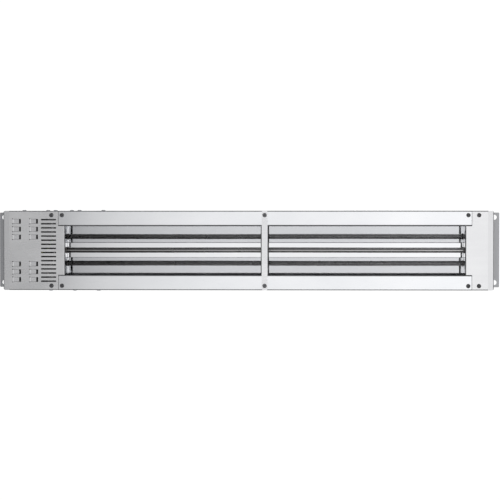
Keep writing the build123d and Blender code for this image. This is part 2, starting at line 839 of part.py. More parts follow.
# grommets line the end plates' holes round the return lead
with BuildPart() as grommets:
    for x in (left_plate, right_plate):
        with Locations(Location((x - sheet, lead_y, lead_z), (0, 90, 0))):
            Cylinder(
                lead_hole_d / 2 - screw_play,
                3 * sheet,
                align=(Align.CENTER, Align.CENTER, Align.MIN),
            )
            Cylinder(
                lead_hole_d / 2 + sheet,
                sheet - screw_play,
                align=(Align.CENTER, Align.CENTER, Align.MIN),
            )
            Cylinder(lead_d / 2 + screw_play, 9 * sheet, mode=Mode.SUBTRACT)
write(grommets, "lead_grommets")
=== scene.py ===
import bmesh
import bpy
import numpy as np
from mathutils import Matrix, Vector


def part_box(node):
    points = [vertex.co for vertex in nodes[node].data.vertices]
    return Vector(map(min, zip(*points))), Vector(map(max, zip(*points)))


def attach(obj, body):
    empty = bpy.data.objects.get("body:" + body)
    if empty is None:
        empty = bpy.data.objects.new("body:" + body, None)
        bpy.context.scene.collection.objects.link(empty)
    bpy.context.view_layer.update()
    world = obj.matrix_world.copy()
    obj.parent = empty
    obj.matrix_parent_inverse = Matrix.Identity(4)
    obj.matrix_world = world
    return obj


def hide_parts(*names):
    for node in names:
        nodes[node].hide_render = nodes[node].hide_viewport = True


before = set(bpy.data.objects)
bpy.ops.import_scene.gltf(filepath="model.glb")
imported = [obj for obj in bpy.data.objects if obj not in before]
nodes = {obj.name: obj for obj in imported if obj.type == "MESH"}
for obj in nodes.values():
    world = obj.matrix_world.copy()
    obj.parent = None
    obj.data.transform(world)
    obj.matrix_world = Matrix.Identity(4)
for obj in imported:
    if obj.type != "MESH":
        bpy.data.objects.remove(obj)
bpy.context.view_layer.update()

# ---- camera -----------------------------------------------------------------
# The warmer hangs with its heating face down, so the camera stands under it and
# looks up, from a little to the front and towards the end cover.
cover_low, cover_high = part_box("control_cover")
face_z = cover_low[2]
camera_distance = 3.0
frame_width = 0.9326  # what the picture takes in at the face
aim = np.array([0.00395, -0.0010, face_z])
stand = np.array([0.07055, -0.0652, face_z - camera_distance])

camera_data = bpy.data.cameras.new("camera")
camera_data.sensor_width = 36.0
camera_data.lens = camera_data.sensor_width * camera_distance / frame_width
camera_data.clip_end = 100.0
camera = bpy.data.objects.new("camera", camera_data)
bpy.context.scene.collection.objects.link(camera)
back = stand - aim
back /= np.linalg.norm(back)
side = np.cross([0.0, -1.0, 0.0], back)  # the picture's top is the front, -Y
side /= np.linalg.norm(side)
turn = np.eye(4)
turn[:3, 0] = side
turn[:3, 1] = np.cross(back, side)
turn[:3, 2] = back
turn[:3, 3] = stand
camera.matrix_world = Matrix(turn.tolist())
bpy.context.scene.camera = camera
bpy.context.scene.view_settings.view_transform = "Standard"

# ---- studio -----------------------------------------------------------------
# A plain pale floor and a white sky, which is all the camera sees of them. What the
# bright metal mirrors is shaded: a long soft light on the floor, weaker to the left,
# with dimmer walls round it, and a sky that is bright only overhead.
floor_z = face_z - 3.25
floor_half = 14.0
floor_shown = (0.86, 0.86, 0.86)
sky_shown = (1.05, 1.05, 1.05)
# brightness of the soft light against X, in metres, from left to right
light_along = (
    (-2.2, 0.34), (-1.7, 0.46), (-1.3, 0.46), (-0.95, 0.44), (-0.82, 0.42), (-0.73, 0.575),
    (-0.53, 0.73), (-0.34, 0.815), (-0.15, 0.88), (0.13, 0.905), (0.32, 0.92), (0.55, 0.975),
    (0.85, 0.99), (1.2, 0.95), (1.6, 0.82), (2.2, 0.66),
)
light_blue = 1.01  # the light's blue over its grey
light_half_width = 0.85
light_fade = 0.9
light_ends = (2.1, 3.0)  # the light fades out between these, at both its ends
wall_grey = 0.30
wall_blue = 1.03  # the walls' blue over their grey
sky_low = (0.31, 0.315, 0.32)
sky_overhead = (1.72, 1.72, 1.72)
sky_rise = (0.45, 0.92)  # sine of the height at which the sky starts and ends brightening


def link(tree, source, target):
    """Joins an output socket to an input socket."""
    tree.links.new(source, target)


def remap(tree, value, from_low, from_high, to_low=0.0, to_high=1.0, smooth=False):
    """Value scaled from one range to another and held at its ends."""
    node = tree.nodes.new("ShaderNodeMapRange")
    node.interpolation_type = "SMOOTHSTEP" if smooth else "LINEAR"
    for socket, number in zip(node.inputs[1:5], (from_low, from_high, to_low, to_high)):
        socket.default_value = number
    link(tree, value, node.inputs["Value"])
    return node.outputs["Result"]


def combine(tree, operation, first, second=0.0):
    """Math node on two values, each a socket or a number."""
    node = tree.nodes.new("ShaderNodeMath")
    node.operation = operation
    for socket, value in zip(node.inputs, (first, second)):
        if isinstance(value, (int, float)):
            socket.default_value = value
        else:
            link(tree, value, socket)
    return node.outputs["Value"]


def object_axes(tree):
    """X, Y and Z of the point in object coordinates, in metres."""
    place = tree.nodes.new("ShaderNodeTexCoord")
    split = tree.nodes.new("ShaderNodeSeparateXYZ")
    link(tree, place.outputs["Object"], split.inputs[0])
    return split.outputs["X"], split.outputs["Y"], split.outputs["Z"]


def off_centre(tree, value, centre=0.0):
    """Distance of a value from a centre, whichever side it is on."""
    if centre:
        value = combine(tree, "SUBTRACT", value, centre)
    return combine(tree, "ABSOLUTE", value)


def blend_colours(tree, factor, first, second):
    """Colour that goes from first at 0 to second at 1; each is a socket or an RGB triple."""
    node = tree.nodes.new("ShaderNodeMix")
    node.data_type = "RGBA"
    link(tree, factor, node.inputs["Factor"])
    for socket, colour in zip((node.inputs[6], node.inputs[7]), (first, second)):
        if isinstance(colour, tuple):
            socket.default_value = (*colour, 1.0)
        else:
            link(tree, colour, socket)
    return node.outputs[2]


floor_mesh = bpy.data.meshes.new("studio_floor")
floor_corners = floor_half * np.array([(-1, -1, 0), (1, -1, 0), (1, 1, 0), (-1, 1, 0)], float)
floor_corners[:, 2] = floor_z
floor_mesh.from_pydata(floor_corners.tolist(), [], [(0, 1, 2, 3)])
floor = bpy.data.objects.new("studio_floor", floor_mesh)
bpy.context.scene.collection.objects.link(floor)
floor_paint = bpy.data.materials.new("studio_floor")
floor_paint.use_nodes = True
tree = floor_paint.node_tree
floor_x, floor_y, _ = object_axes(tree)
ramp = tree.nodes.new("ShaderNodeValToRGB")
ramp_low, ramp_high = light_along[0][0], light_along[-1][0]
link(tree, remap(tree, floor_x, ramp_low, ramp_high), ramp.inputs["Fac"])
stops = ramp.color_ramp.elements
for x, _ in light_along[1:-1]:
    stops.new((x - ramp_low) / (ramp_high - ramp_low))
for stop, (_, grey) in zip(stops, light_along):
    stop.color = (grey, grey, light_blue * grey, 1.0)
off_y = remap(tree, off_centre(tree, floor_y), light_half_width, light_half_width + light_fade,
              smooth=True)
off_x = remap(tree, off_centre(tree, floor_x), *light_ends, smooth=True)
mirrored = blend_colours(tree, combine(tree, "MAXIMUM", off_y, off_x), ramp.outputs["Color"],
                         (wall_grey, wall_grey, wall_blue * wall_grey))
ray = tree.nodes.new("ShaderNodeLightPath")
shader = tree.nodes["Principled BSDF"]
shader.inputs["Roughness"].default_value = 0.9
shader.inputs["Specular IOR Level"].default_value = 0.0
link(tree, blend_colours(tree, ray.outputs["Is Camera Ray"], mirrored, floor_shown),
     shader.inputs["Base Color"])
floor_mesh.materials.append(floor_paint)

world = bpy.data.worlds.new("studio_sky")
world.use_nodes = True
tree = world.node_tree
direction = tree.nodes.new("ShaderNodeTexCoord")
split = tree.nodes.new("ShaderNodeSeparateXYZ")
link(tree, direction.outputs["Generated"], split.inputs[0])
height = remap(tree, split.outputs["Z"], *sky_rise, smooth=True)
sky_mirrored = blend_colours(tree, height, sky_low, sky_overhead)
ray = tree.nodes.new("ShaderNodeLightPath")
link(tree, blend_colours(tree, ray.outputs["Is Camera Ray"], sky_mirrored, sky_shown),
     tree.nodes["Background"].inputs["Color"])
bpy.context.scene.world = world

# ---- housing ----------------------------------------------------------------
# One sheet of bright stainless, 1 mm, folded into top, sides, rails and lips. The rolled finish has a
# fine grain along the strip. Inside and on the lips the steel is rougher and painted dark, painted
# shade with a tarnish mottle; the hanging flanges are rougher and painted darker, painted shade; and
# the long bends carry painted shade.
end_x = -cover_low[0]
half_width = cover_high[1]
skin = 0.0006  # depth within which a point still counts as on the outer surface
bend_reach, bend_height = 0.0013, 0.0025
# painted shade laid along the long bends
bend_shade_grey = (0.16, 0.162, 0.168)
# the flanges' grey is painted shade; their roughness is the steel's own
flange_shade_grey, flange_rough = (0.44, 0.445, 0.455), 0.34
# painted shade inside and on the lips, with a tarnish mottle between its two greys
shade_tarnish_dark, shade_tarnish_pale, tarnish_rough = (0.14, 0.14, 0.144), (0.36, 0.365, 0.37), 0.42


def new_finish(name, grey, rough, metallic=1.0):
    """Material with one Principled shader; returns the material, its tree and the shader."""
    material = bpy.data.materials.new(name)
    material.use_nodes = True
    shader = material.node_tree.nodes["Principled BSDF"]
    shader.inputs["Base Color"].default_value = (*grey, 1.0)
    shader.inputs["Roughness"].default_value = rough
    shader.inputs["Metallic"].default_value = metallic
    return material, material.node_tree, shader


def noise(tree, fineness, stretch=(1.0, 1.0, 1.0), detail=2.0):
    """Smooth noise, about 0.3 to 0.7, of the object coordinates times stretch and fineness."""
    place = tree.nodes.new("ShaderNodeTexCoord")
    mapping = tree.nodes.new("ShaderNodeMapping")
    mapping.inputs["Scale"].default_value = stretch
    cloud = tree.nodes.new("ShaderNodeTexNoise")
    cloud.inputs["Scale"].default_value = fineness
    cloud.inputs["Detail"].default_value = detail
    link(tree, place.outputs["Object"], mapping.inputs["Vector"])
    link(tree, mapping.outputs["Vector"], cloud.inputs["Vector"])
    return cloud.outputs["Fac"]


def relief(tree, shader, height, distance):
    """Raises the surface by height, 0 to 1, times distance in metres."""
    bump = tree.nodes.new("ShaderNodeBump")
    bump.inputs["Distance"].default_value = distance
    link(tree, height, bump.inputs["Height"])
    link(tree, bump.outputs["Normal"], shader.inputs["Normal"])


def step_up(tree, value, edge, soft=0.0002):
    """0 below edge and 1 above it, over a width of soft metres."""
    return remap(tree, value, edge - soft / 2, edge + soft / 2)


def step_down(tree, value, edge, soft=0.0002):
    """1 below edge and 0 above it, over a width of soft metres."""
    return remap(tree, value, edge - soft / 2, edge + soft / 2, 1.0, 0.0)


def times(tree, first, *others):
    """Product of values; of masks, the part that all of them cover."""
    for other in others:
        first = combine(tree, "MULTIPLY", first, other)
    return first


def brushed_steel(tree, shader, bright, dull, rough, grain=0.03, wave=0.00002):
    """Rolled steel: fine grain along X in the roughness, faint clouding in the colour and a
    slow wave in the surface. Returns the colour and the roughness, for a piece to mask."""
    lines = noise(tree, 900.0, (0.02, 1.0, 1.0), 3.0)
    cloud = noise(tree, 14.0, (0.6, 1.0, 1.0), 3.0)
    speck = remap(tree, noise(tree, 420.0), 0.35, 0.65, 0.0, 0.35)
    colour = blend_colours(tree, remap(tree, cloud, 0.35, 0.65), dull, bright)
    colour = blend_colours(tree, times(tree, speck, lines), colour, dull)
    uneven = combine(tree, "ADD", remap(tree, lines, 0.3, 0.7, -grain, grain),
                     remap(tree, cloud, 0.3, 0.7, -grain / 2, grain / 2))
    roughness = combine(tree, "ADD", uneven, rough)
    slow = noise(tree, 9.0, (0.5, 1.0, 1.0), 1.0)
    relief(tree, shader, combine(tree, "ADD", slow, times(tree, lines, 0.04)), wave)
    link(tree, colour, shader.inputs["Base Color"])
    link(tree, roughness, shader.inputs["Roughness"])
    return colour, roughness


def painted_bend_shade(tree, colour):
    """The colour, with painted shade on the long bends where the face turns up into the side walls.
    """
    _, y, z = object_axes(tree)
    outer = step_up(tree, off_centre(tree, y), half_width - bend_reach, 0.0006)
    low = step_down(tree, z, face_z + bend_height, 0.0010)
    return blend_colours(tree, times(tree, outer, low), colour, bend_shade_grey)


def wear(piece, material):
    """Gives a CAD node, or a new piece, this one material."""
    piece.data.materials.clear()
    piece.data.materials.append(material)


shell, tree, shader = new_finish("bright_stainless", (0.92, 0.93, 0.95), 0.09)
colour, rough = brushed_steel(tree, shader, (0.95, 0.955, 0.965), (0.88, 0.89, 0.905), 0.10)
x, y, z = object_axes(tree)
reach_x, reach_y = off_centre(tree, x), off_centre(tree, y)
flange = step_up(tree, reach_x, end_x + 0.0005)
inside = times(
    tree,
    step_down(tree, reach_y, half_width - skin),
    step_up(tree, z, face_z + skin, 0.0006),
    step_down(tree, z, -skin),
    combine(tree, "SUBTRACT", 1.0, flange),
)
# painted shade: the flanges, the inside and the lips, and the long bends are painted darker
colour = blend_colours(tree, flange, colour, flange_shade_grey)
stain = remap(tree, noise(tree, 22.0, (0.5, 1.0, 1.0)), 0.60, 0.72)
shade_and_tarnish = blend_colours(tree, stain, shade_tarnish_dark, shade_tarnish_pale)
link(tree, blend_colours(tree, inside, painted_bend_shade(tree, colour), shade_and_tarnish),
     shader.inputs["Base Color"])
duller = combine(tree, "MAXIMUM", times(tree, inside, tarnish_rough),
                 times(tree, flange, flange_rough))
link(tree, combine(tree, "MAXIMUM", rough, duller), shader.inputs["Roughness"])
wear(nodes["housing"], shell)

# ---- covers and cross strip ---------------------------------------------------
# Pressed from the same steel with a duller, fine-grained satin face. Everything standing a little
# above the face, outside the end facet, is a darker grey. The end facet is painted paler, painted
# light, with painted shade at its rim, and the joggled tabs under the rails carry painted shade.
end_cover_low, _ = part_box("end_cover")
tongue_reach = 0.0116
facet_length = 0.011
# extent of the painted shade at the facet's rim
rim_reach, rim_height = 0.0012, 0.0030
# a darker grey for everything standing more than tab_rise above the face, outside the facet
tab_rise, tab_grey = 0.00025, (0.50, 0.50, 0.505)
# the joggled tabs' grey is painted shade under the rails
joggle_rise, joggle_start, joggle_shade_grey = 0.0009, 0.0012, (0.17, 0.17, 0.175)
satin_tint = (0.55, 0.55, 0.56, 1.0)
satin_grain, satin_wave = 0.04, 0.00001
cover_finishes = (
    # node, where the rails end, which way they lie from there, the cover's bright and dull patches,
    # its roughness, the painted light on its outer facet, and the painted shade at the facet's rim
    ("control_cover", cover_high[0] - tongue_reach, 1.0, (0.85, 0.85, 0.85), (0.745, 0.745, 0.75),
     0.30, (0.93, 0.93, 0.935), (0.30, 0.30, 0.31)),
    ("end_cover", end_cover_low[0] + tongue_reach, -1.0, (0.88, 0.88, 0.88), (0.81, 0.81, 0.815),
     0.20, (0.90, 0.90, 0.905), (0.16, 0.16, 0.165)),
)

for name, edge, toward, bright, dull, rough, facet_light_grey, rim_shade_grey in cover_finishes:
    cover, tree, shader = new_finish(f"satin_{name}", bright, rough)
    shader.inputs["Specular Tint"].default_value = satin_tint
    colour, _ = brushed_steel(tree, shader, bright, dull, rough, satin_grain, satin_wave)
    x, _, z = object_axes(tree)
    reach_x = off_centre(tree, x)
    # painted light: the facet is set paler; painted shade on the long bends and on the facet's rim
    facet = step_up(tree, reach_x, end_x - facet_length, 0.0004)
    colour = blend_colours(tree, facet, painted_bend_shade(tree, colour), facet_light_grey)
    # painted shade at the facet's rim, where the end turns up from the face
    rim = times(tree, step_up(tree, reach_x, end_x - rim_reach, 0.0006),
                step_down(tree, z, face_z + rim_height, 0.0010))
    colour = blend_colours(tree, rim, colour, rim_shade_grey)
    # a darker grey for everything standing above the face outside the facet
    tab = times(tree, step_up(tree, z, face_z + tab_rise), combine(tree, "SUBTRACT", 1.0, facet))
    colour = blend_colours(tree, tab, colour, tab_grey)
    # painted shade on the joggled tabs under the rails
    past = step_up(tree, times(tree, x, toward), toward * edge - joggle_start)
    joggle_shade = times(tree, past, step_up(tree, z, face_z + joggle_rise))
    link(tree, blend_colours(tree, joggle_shade, colour, joggle_shade_grey), shader.inputs["Base Color"])
    wear(nodes[name], cover)

satin_strip, tree, shader = new_finish("satin_strip", (0.88, 0.88, 0.885), 0.26)
brushed_steel(tree, shader, (0.93, 0.93, 0.935), (0.84, 0.84, 0.85), 0.26, satin_grain, satin_wave)
wear(nodes["cross_strip"], satin_strip)

# ---- brackets inside ----------------------------------------------------------
# Hanger and splice strips in plain mill-finish steel; the hanger is painted near-black, painted shade
# for the shadow it hangs in.
hanger_shade, tree, shader = new_finish("shadowed_hanger_steel", (0.1, 0.1, 0.11), 0.45)
haze = remap(tree, noise(tree, 60.0), 0.35, 0.65)
link(tree, blend_colours(tree, haze, (0.055, 0.055, 0.06), (0.12, 0.115, 0.12)),
     shader.inputs["Base Color"])
link(tree, remap(tree, noise(tree, 300.0), 0.3, 0.7, 0.4, 0.55), shader.inputs["Roughness"])
wear(nodes["element_hanger"], hanger_shade)
mill, tree, shader = new_finish("mill_steel", (0.4, 0.4, 0.41), 0.4)
brushed_steel(tree, shader, (0.46, 0.46, 0.47), (0.33, 0.33, 0.34), 0.42, 0.05)
for name in ("splice_strip_front_upper", "splice_strip_front_lower", "splice_strip_rear"):
    wear(nodes[name], mill)

# ---- reflector ----------------------------------------------------------------
# Mirror-polished aluminium, 0.6 mm, folded into a trough with 45 degree walls. The polish is crisp,
# with a slow rolling wave and faint draw lines along the strip. The walls are set darker than the
# flat, painted shade, and a painted shadow line runs along each fold.
crease_y = 0.0139  # folds between the flat and the walls, from the centre line
crease_half = 0.0006
# painted shade: the walls' grey and the darker grey along the folds
wall_shade_grey, crease_shadow_grey = (0.815, 0.82, 0.83), (0.52, 0.525, 0.535)
mirror, tree, shader = new_finish("polished_aluminium", (0.93, 0.935, 0.94), 0.035)
draw = noise(tree, 500.0, (0.01, 1.0, 1.0))
cloud = remap(tree, noise(tree, 10.0, (0.5, 1.0, 1.0)), 0.35, 0.65)
polish = blend_colours(tree, cloud, (0.90, 0.905, 0.915), (0.945, 0.95, 0.955))
_, y, _ = object_axes(tree)
reach_y = off_centre(tree, y)
# painted shade on the walls and a painted shadow line along each fold
walls = step_up(tree, reach_y, crease_y + crease_half, 0.0004)
polish = blend_colours(tree, walls, polish, wall_shade_grey)
crease_shadow = remap(tree, off_centre(tree, reach_y, crease_y), 0.5 * crease_half, 1.3 * crease_half,
               1.0, 0.0)
link(tree, blend_colours(tree, crease_shadow, polish, crease_shadow_grey), shader.inputs["Base Color"])
link(tree, remap(tree, draw, 0.3, 0.7, 0.025, 0.055), shader.inputs["Roughness"])
relief(tree, shader, noise(tree, 7.0, (0.35, 1.0, 1.0), 0.0), 0.00010)
wear(nodes["reflector"], mirror)

# ---- end plates ---------------------------------------------------------------
# Bright-rolled steel closing the trough. Away from the element's bushing the left plate is painted
# dark, painted shade, and the right one pale, painted light, and both carry a painted shadow along
# the edge by the face.
plate_finishes = (
    # node, painted light away from the bushing (painted shade on the left plate, painted light on the
    # right), tint of the glancing reflection
    ("end_plate_left", (0.02, 0.035, 0.055), 0.97),
    ("end_plate_right", (0.80, 0.81, 0.83), 1.0),
)
bushing_zone = (0.012, 0.018)  # distances from the centre line where the shade changes
face_shadow_band = (0.0025, 0.0045)  # heights over the face where the painted shadow along the edge ends
# grey of the painted shadow along the edge by the face
face_shadow_grey = (0.26, 0.26, 0.27)
for name, away_painted_light, glancing in plate_finishes:
    end_steel, tree, shader = new_finish(f"steel_{name}", (0.88, 0.89, 0.90), 0.12)
    shader.inputs["Specular Tint"].default_value = (glancing, glancing, glancing, 1.0)
    colour, _ = brushed_steel(tree, shader, (0.98, 0.98, 0.98), (0.93, 0.935, 0.94), 0.08)
    _, y, z = object_axes(tree)
    # painted shade on the left plate and painted light on the right, away from the bushing
    away = remap(tree, off_centre(tree, y), *bushing_zone, smooth=True)
    colour = blend_colours(tree, away, colour, away_painted_light)
    # painted shadow along the edge by the face
    face_shadow = remap(tree, z, *(face_z + rise for rise in face_shadow_band), 1.0, 0.0, smooth=True)
    link(tree, blend_colours(tree, face_shadow, colour, face_shadow_grey), shader.inputs["Base Color"])
    wear(nodes[name], end_steel)

# ---- heating element ----------------------------------------------------------
# A straight rod: nickel-alloy sheath, swaged over packed powder, dark from its first firing. It is
# painted paler towards the end cover, painted light, and a painted highlight line runs along its
# underside.
rod_low, rod_high = (np.array(c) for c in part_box("heating_element"))
rod_radius = (rod_high[2] - rod_low[2]) / 2
rod_z = (rod_high[2] + rod_low[2]) / 2
rod_length = rod_high[0] - rod_low[0]
rod_bore, rod_bore_radius = 0.012, 0.0021
rod_stations, rod_around = 161, 48
end_chamfer, end_land, station_inset = 0.00015, 0.0005, 0.0008
swage_depth, swage_rate = 0.00003, 310.0
bow_up, bow_aside = 0.00035, 0.0002
line_y, line_inner, line_outer = 0.0004, 0.0003, 0.0009
sheath_fade = (-0.33, 0.40)  # X between which the sheath is painted paler, painted light, and the line below
line_fade = (-0.38, 0.0)
# darker and paler patches at each end of the fade, and the flecks and the painted highlight line over
# them
sheath_near = ((0.085, 0.083, 0.082), (0.14, 0.137, 0.134))
sheath_far = ((0.29, 0.287, 0.287), (0.38, 0.377, 0.374))
fleck_grey, highlight_line_grey = (0.09, 0.085, 0.08), (0.75, 0.745, 0.74)
merge_distance = 0.000001


def put_mesh(name, points, faces):
    """New smooth object at the origin from an (n, 3) array of points and an (m, 4) array of
    faces. Points that coincide, as the rings at a pole or a seam do, are joined, and then
    every closed shell's faces are turned outward."""
    mesh = bpy.data.meshes.new(name)
    mesh.vertices.add(len(points))
    mesh.vertices.foreach_set("co", np.asarray(points, dtype=np.float32).ravel())
    mesh.loops.add(faces.size)
    mesh.loops.foreach_set("vertex_index", faces.astype(np.int32).ravel())
    mesh.polygons.add(len(faces))
    mesh.polygons.foreach_set("loop_start", np.arange(0, faces.size, 4, dtype=np.int32))
    mesh.polygons.foreach_set("use_smooth", np.ones(len(faces), bool))
    mesh.update(calc_edges=True)
    joined = bmesh.new()
    joined.from_mesh(mesh)
    bmesh.ops.remove_doubles(joined, verts=joined.verts, dist=merge_distance)
    bmesh.ops.recalc_face_normals(joined, faces=joined.faces)
    joined.to_mesh(mesh)
    joined.free()
    piece = bpy.data.objects.new(name, mesh)
    bpy.context.scene.collection.objects.link(piece)
    return piece


def wrap_faces(rows, around, first=0):
    """Quads of a grid of rows rings, each of around points closed on itself."""
    i, j = np.meshgrid(np.arange(rows - 1), np.arange(around), indexing="ij")
    k = (j + 1) % around
    here, above = i * around, (i + 1) * around
    return first + np.stack([above + j, above + k, here + k, here + j], -1).reshape(-1, 4)


def turned(profile, around, ripple=None):
    """Ring grid of a turned shape: profile rows are (radius, height) and the shape turns about
    Z. ripple, if given, is added to the radius, as an array of profile rows by around."""
    angle = np.linspace(0.0, 2 * np.pi, around, endpoint=False)
    radius = profile[:, :1] + (0.0 if ripple is None else ripple)
    radius = np.maximum(radius, 0.0) * np.ones(around)
    height = profile[:, 1:] * np.ones(around)
    return np.stack([radius * np.cos(angle), radius * np.sin(angle), height], -1)


def lay_along_x(points):
    """Turns a shape made about Z so that its axis is +X."""
    return np.stack([points[..., 2], points[..., 1], -points[..., 0]], -1)


stations = np.linspace(station_inset, rod_length - station_inset, rod_stations)
near_end = np.array([
    (0.0, rod_bore), (rod_bore_radius, rod_bore), (rod_bore_radius, 0.0),
    (rod_radius - end_land, 0.0), (rod_radius - end_chamfer, end_chamfer),
])
far_end = near_end[::-1] * (1.0, -1.0) + (0.0, rod_length)
rod_profile = np.concatenate([
    near_end,
    np.stack([np.full(rod_stations, rod_radius), stations], -1),
    far_end,
])
on_sheath = rod_profile[:, :1] == rod_radius
swage = swage_depth * np.sin(swage_rate * rod_profile[:, 1:]) * on_sheath * np.ones(rod_around)
rod_points = lay_along_x(turned(rod_profile, rod_around, swage))
# heat bows the rod a little between its supports
rod_at = rod_points[..., 0] / rod_length
rod_points[..., 2] += rod_z + bow_up * np.sin(2 * np.pi * rod_at) * np.sin(np.pi * rod_at)
rod_points[..., 1] += bow_aside * np.sin(3 * np.pi * rod_at)
rod_points[..., 0] += rod_low[0]
element = put_mesh("element_rod", rod_points.reshape(-1, 3), wrap_faces(len(rod_profile), rod_around))

sheath, tree, shader = new_finish("fired_sheath_painted_light", (0.18, 0.17, 0.165), 0.24)
x, y, z = object_axes(tree)
firing = noise(tree, 16.0, (0.4, 1.0, 1.0), 3.0)
oxide = remap(tree, noise(tree, 700.0, (0.4, 1.0, 1.0)), 0.35, 0.65, 0.0, 0.35)
# painted light: the sheath is painted paler towards the end cover, over the firing mottle
far = remap(tree, x, *sheath_fade)
darker, paler = (blend_colours(tree, far, *ends) for ends in zip(sheath_near, sheath_far))
firing_and_painted_light = blend_colours(tree, remap(tree, firing, 0.35, 0.65), darker, paler)
firing_and_painted_light = blend_colours(tree, oxide, firing_and_painted_light, fleck_grey)
# painted highlight: a pale line along the underside, weaker to the left
painted_highlight = times(
    tree,
    remap(tree, off_centre(tree, y, line_y), line_inner, line_outer, 1.0, 0.0, smooth=True),
    step_down(tree, z, rod_z),
    remap(tree, noise(tree, 30.0, (0.3, 1.0, 1.0)), 0.3, 0.7, 0.65, 1.0),
    remap(tree, x, *line_fade, 0.55, 1.0),
)
link(tree, blend_colours(tree, painted_highlight, firing_and_painted_light, highlight_line_grey), shader.inputs["Base Color"])
link(tree, remap(tree, firing, 0.3, 0.7, 0.2, 0.3), shader.inputs["Roughness"])
relief(tree, shader, noise(tree, 1600.0, (0.3, 1.0, 1.0)), 0.00001)
wear(element, sheath)
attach(element, "root")
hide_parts("heating_element")

# ---- element bushings -----------------------------------------------------------
# Steatite, unglazed: a turned collar with a neck pressed into each end plate, painted dark round the
# bore where the sheath passes, painted shade.
bush_low, bush_high = (np.array(c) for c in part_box("element_bushings"))
collar_radius = (bush_high[2] - bush_low[2]) / 2
collar = 0.003
neck_radius = 0.0061
neck = 0.002
bush_bore = rod_radius + 0.0002
bush_around = 64
# width of the painted shade round the bore
bore_shade_width = 0.0006


def bend_round(corners, radii, steps=5):
    """Profile of straight runs whose inner corners are rounded: each corner is swapped for
    points on the quadratic curve between two points one radius away from it."""
    corners = np.asarray(corners, float)
    t = np.linspace(0.0, 1.0, steps)[:, None]
    parts = [corners[:1]]
    for before, corner, after, radius in zip(corners, corners[1:], corners[2:], radii):
        start = corner + (before - corner) * radius / np.linalg.norm(before - corner)
        end = corner + (after - corner) * radius / np.linalg.norm(after - corner)
        parts.append((1 - t) ** 2 * start + 2 * t * (1 - t) * corner + t**2 * end)
    parts.append(corners[-1:])
    return np.concatenate(parts)


def group_of(name, shapes):
    """One object of several ring grids, each an array (rows, around, 3)."""
    points, faces, first = [], [], 0
    for rings in shapes:
        rows, around, _ = rings.shape
        points.append(rings.reshape(-1, 3))
        faces.append(wrap_faces(rows, around, first))
        first += rows * around
    return put_mesh(name, np.concatenate(points), np.concatenate(faces))


bush_profile = bend_round(
    [(bush_bore, 0.0), (bush_bore, -neck), (neck_radius, -neck), (neck_radius, 0.0),
     (collar_radius, 0.0), (collar_radius, collar), (bush_bore, collar), (bush_bore, 0.0)],
    (0.0003, 0.0006, 0.0002, 0.0004, 0.0010, 0.0005),
)
bush_shapes = []
for wall_x, toward in ((bush_low[0] + collar, -1.0), (bush_high[0] - collar, 1.0)):
    rings = lay_along_x(turned(bush_profile, bush_around)) * (toward, toward, 1.0)
    bush_shapes.append(rings + np.array([wall_x, 0.0, rod_z]))
bushings = group_of("ceramic_bushings", bush_shapes)

steatite, tree, shader = new_finish("steatite", (0.78, 0.74, 0.66), 0.6, 0.0)
_, y, z = object_axes(tree)
drop = combine(tree, "SUBTRACT", z, rod_z)
out = combine(tree, "SQRT", combine(tree, "ADD", times(tree, y, y), times(tree, drop, drop)))
# painted shade round the bore
bore_shade = remap(tree, out, neck_radius, neck_radius + bore_shade_width, 1.0, 0.0)
pores = remap(tree, noise(tree, 900.0, detail=3.0), 0.4, 0.7)
body = blend_colours(tree, pores, (0.80, 0.76, 0.68), (0.66, 0.61, 0.52))
link(tree, blend_colours(tree, bore_shade, body, (0.10, 0.085, 0.075)), shader.inputs["Base Color"])
relief(tree, shader, pores, 0.00003)
wear(bushings, steatite)
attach(bushings, "root")
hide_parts("element_bushings")

# ---- rivets of the end plates ---------------------------------------------------
# Pull rivets in aluminium alloy, with the broken stem sunk in the head. Each is a
# profile turned about its own axis, at the four corners of the CAD rivets' box.
rivet_low, rivet_high = (np.array(c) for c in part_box("plate_rivets"))
rivet_head = rivet_high[2]
rivet_grip = -rivet_low[2]
rivet_radius, rivet_shank, rivet_stem = 0.0033, 0.002, 0.0011
rivet_around = 40
rivet_profile = bend_round(
    [(0.0, rivet_head * 0.45), (rivet_stem, rivet_head * 0.45),
     (rivet_stem + 0.0001, rivet_head * 0.98), (rivet_radius * 0.72, rivet_head * 0.92),
     (rivet_radius, 0.0003), (rivet_radius, 0.0), (rivet_shank, 0.0),
     (rivet_shank, -rivet_grip), (0.0, -rivet_grip)],
    (0.0002, 0.0002, 0.0006, 0.0002, 0.0001, 0.0003, 0.0004),
)
rivets = group_of("pull_rivets", [
    turned(rivet_profile[::-1], rivet_around) + np.array([rivet_x, rivet_y, 0.0])
    for rivet_x in (rivet_low[0] + rivet_radius, rivet_high[0] - rivet_radius)
    for rivet_y in (rivet_low[1] + rivet_radius, rivet_high[1] - rivet_radius)
])
rivet_alloy, tree, shader = new_finish("rivet_alloy", (0.72, 0.72, 0.73), 0.35)
scuff = remap(tree, noise(tree, 800.0, detail=3.0), 0.35, 0.65)
link(tree, blend_colours(tree, scuff, (0.60, 0.60, 0.61), (0.78, 0.78, 0.79)),
     shader.inputs["Base Color"])
link(tree, remap(tree, scuff, 0.0, 1.0, 0.28, 0.45), shader.inputs["Roughness"])
wear(rivets, rivet_alloy)
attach(rivets, "root")
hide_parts("plate_rivets")

